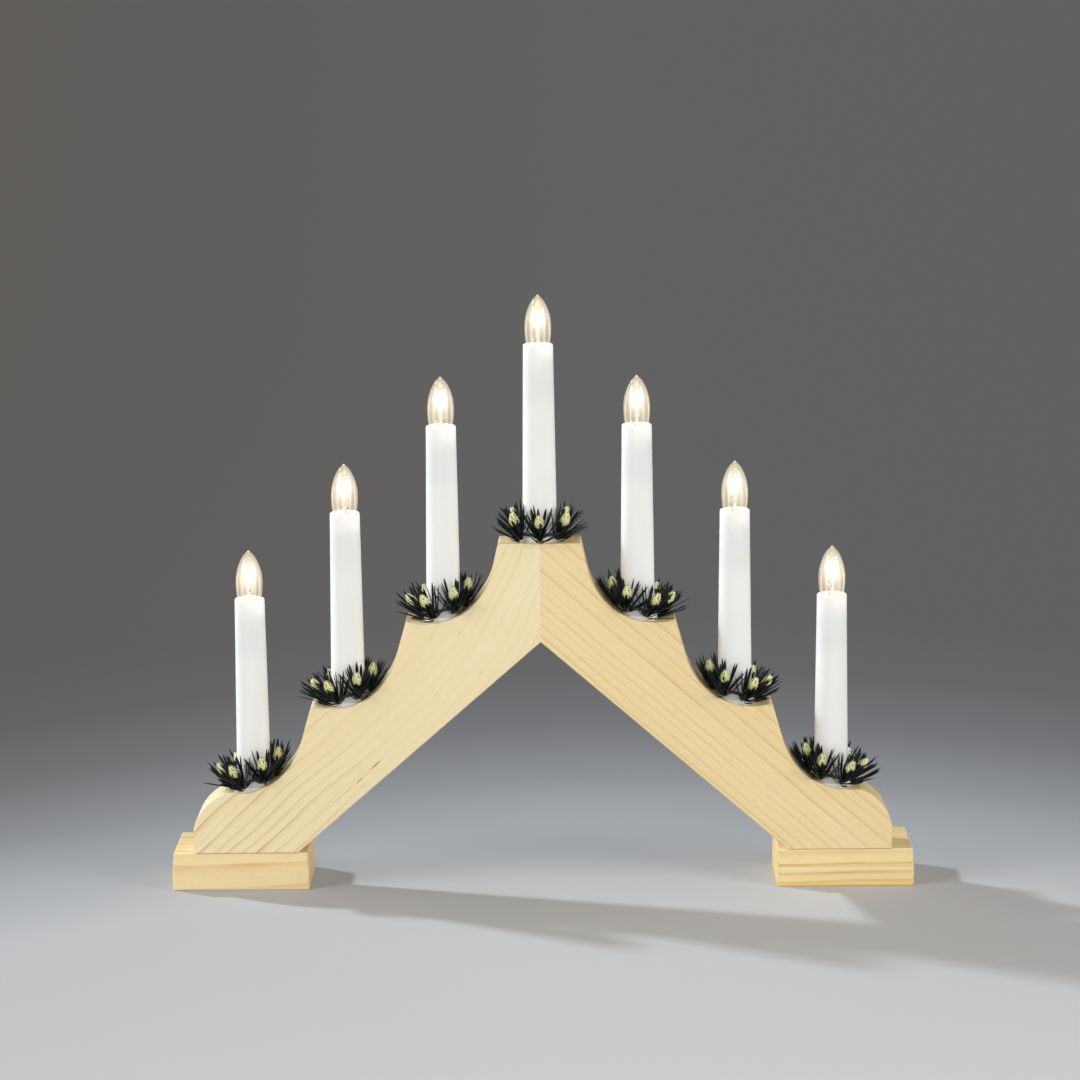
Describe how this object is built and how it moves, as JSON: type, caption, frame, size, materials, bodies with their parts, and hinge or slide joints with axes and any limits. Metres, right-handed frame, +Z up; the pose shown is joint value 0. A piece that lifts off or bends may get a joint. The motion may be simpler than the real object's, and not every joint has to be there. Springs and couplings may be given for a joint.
{
  "type": "candle arch",
  "caption": "Electric window candle arch: two mitred pine arms with stepped coves on block feet, hollow candles with small screw bulbs and a needle wreath round each candle.",
  "frame": {"origin": "on the floor, under the middle of the whole arch", "axes": "+X along the arch towards its right-hand foot, +Y from the front to the back, +Z up"},
  "size_m": [0.39, 0.0574, 0.3122],
  "materials": {
    "pine_arm": "bare, planed",
    "pine_foot": "bare, planed",
    "screw_steel": "zinc plated",
    "candle_plastic": "satin",
    "holder_plastic": "matt",
    "shell_brass": "plain",
    "wire_cover": "matt",
    "bulb_glass": "clear, lightly ribbed",
    "cap_brass": "plain",
    "filament": "glowing",
    "wreath_wire": "dark green",
    "needle_plastic": "satin, nearly black green",
    "bud_plastic": "yellow green with pale tips"
  },
  "bodies": {
    "arch": {"left_arm": "pine_arm", "right_arm": "pine_arm", "left_foot": "pine_foot", "right_foot": "pine_foot", "foot_screws": "screw_steel", "lamp_holders": "holder_plastic", "socket_shells": "shell_brass", "wiring": "wire_cover", "candle_tube_1": "candle_plastic", "candle_tube_2": "candle_plastic", "candle_tube_3": "candle_plastic", "candle_tube_4": "candle_plastic", "candle_tube_5": "candle_plastic", "candle_tube_6": "candle_plastic", "candle_tube_7": "candle_plastic"},
    "bulb_1": {"bulb_glass_1": "bulb_glass", "bulb_cap_1": "cap_brass", "bulb_filament_1": "filament"},
    "bulb_2": {"bulb_glass_2": "bulb_glass", "bulb_cap_2": "cap_brass", "bulb_filament_2": "filament"},
    "bulb_3": {"bulb_glass_3": "bulb_glass", "bulb_cap_3": "cap_brass", "bulb_filament_3": "filament"},
    "bulb_4": {"bulb_glass_4": "bulb_glass", "bulb_cap_4": "cap_brass", "bulb_filament_4": "filament"},
    "bulb_5": {"bulb_glass_5": "bulb_glass", "bulb_cap_5": "cap_brass", "bulb_filament_5": "filament"},
    "bulb_6": {"bulb_glass_6": "bulb_glass", "bulb_cap_6": "cap_brass", "bulb_filament_6": "filament"},
    "bulb_7": {"bulb_glass_7": "bulb_glass", "bulb_cap_7": "cap_brass", "bulb_filament_7": "filament"},
    "wreath_1": {"wreath_ring_1": "wreath_wire", "wreath_tufts_1": "needle_plastic", "wreath_buds_1": "bud_plastic"},
    "wreath_2": {"wreath_ring_2": "wreath_wire", "wreath_tufts_2": "needle_plastic", "wreath_buds_2": "bud_plastic"},
    "wreath_3": {"wreath_ring_3": "wreath_wire", "wreath_tufts_3": "needle_plastic", "wreath_buds_3": "bud_plastic"},
    "wreath_4": {"wreath_ring_4": "wreath_wire", "wreath_tufts_4": "needle_plastic", "wreath_buds_4": "bud_plastic"},
    "wreath_5": {"wreath_ring_5": "wreath_wire", "wreath_tufts_5": "needle_plastic", "wreath_buds_5": "bud_plastic"},
    "wreath_6": {"wreath_ring_6": "wreath_wire", "wreath_tufts_6": "needle_plastic", "wreath_buds_6": "bud_plastic"},
    "wreath_7": {"wreath_ring_7": "wreath_wire", "wreath_tufts_7": "needle_plastic", "wreath_buds_7": "bud_plastic"}
  },
  "joints": [
    {"name": "bulb_1_lift", "type": "slide", "parent": "arch", "child": "bulb_1", "axis": [0, 0, 1], "range_m": [0, 0.03]},
    {"name": "bulb_2_lift", "type": "slide", "parent": "arch", "child": "bulb_2", "axis": [0, 0, 1], "range_m": [0, 0.03]},
    {"name": "bulb_3_lift", "type": "slide", "parent": "arch", "child": "bulb_3", "axis": [0, 0, 1], "range_m": [0, 0.03]},
    {"name": "bulb_4_lift", "type": "slide", "parent": "arch", "child": "bulb_4", "axis": [0, 0, 1], "range_m": [0, 0.03]},
    {"name": "bulb_5_lift", "type": "slide", "parent": "arch", "child": "bulb_5", "axis": [0, 0, 1], "range_m": [0, 0.03]},
    {"name": "bulb_6_lift", "type": "slide", "parent": "arch", "child": "bulb_6", "axis": [0, 0, 1], "range_m": [0, 0.03]},
    {"name": "bulb_7_lift", "type": "slide", "parent": "arch", "child": "bulb_7", "axis": [0, 0, 1], "range_m": [0, 0.03]},
    {"name": "wreath_1_lift", "type": "slide", "parent": "arch", "child": "wreath_1", "axis": [0, 0, 1], "range_m": [0, 0.15]},
    {"name": "wreath_2_lift", "type": "slide", "parent": "arch", "child": "wreath_2", "axis": [0, 0, 1], "range_m": [0, 0.15]},
    {"name": "wreath_3_lift", "type": "slide", "parent": "arch", "child": "wreath_3", "axis": [0, 0, 1], "range_m": [0, 0.15]},
    {"name": "wreath_4_lift", "type": "slide", "parent": "arch", "child": "wreath_4", "axis": [0, 0, 1], "range_m": [0, 0.15]},
    {"name": "wreath_5_lift", "type": "slide", "parent": "arch", "child": "wreath_5", "axis": [0, 0, 1], "range_m": [0, 0.15]},
    {"name": "wreath_6_lift", "type": "slide", "parent": "arch", "child": "wreath_6", "axis": [0, 0, 1], "range_m": [0, 0.15]},
    {"name": "wreath_7_lift", "type": "slide", "parent": "arch", "child": "wreath_7", "axis": [0, 0, 1], "range_m": [0, 0.15]}
  ]
}
